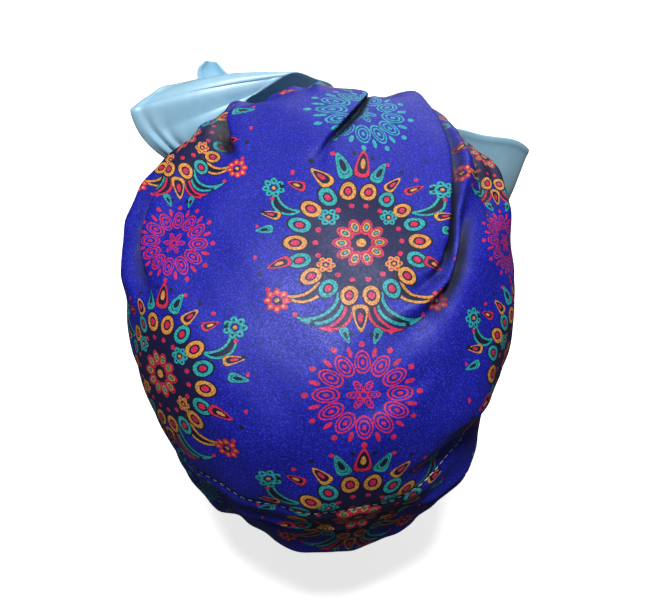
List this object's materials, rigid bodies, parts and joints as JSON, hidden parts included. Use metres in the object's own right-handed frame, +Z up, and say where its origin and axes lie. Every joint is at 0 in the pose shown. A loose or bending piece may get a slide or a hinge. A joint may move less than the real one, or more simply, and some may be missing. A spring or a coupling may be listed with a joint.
{
  "type": "scrub cap",
  "caption": "Worn-shape cloth scrub cap: full crown with gathers at the back, plain band round the rim, and a wide satin sash tied in a bow at the nape.",
  "frame": {"origin": "inside top of the crown, where the top of a head meets it", "axes": "+Z up out of the top of the crown, -Y to the front of the cap (the brow), +Y to the nape with the bow, +X to the right of someone who faces the front"},
  "size_m": [0.2366, 0.2798, 0.237],
  "materials": {
    "cap_cloth": "fine satin-faced weave, royal blue with an all-over print",
    "sash_satin": "smooth satin, pale blue"
  },
  "bodies": {
    "root": {"crown": "cap_cloth", "band": "cap_cloth", "sash_lead_left": "sash_satin", "sash_lead_right": "sash_satin", "sash_knot": "sash_satin", "sash_loop_left": "sash_satin", "sash_loop_right": "sash_satin", "sash_tail_left": "sash_satin", "sash_tail_right": "sash_satin"}
  },
  "joints": []
}
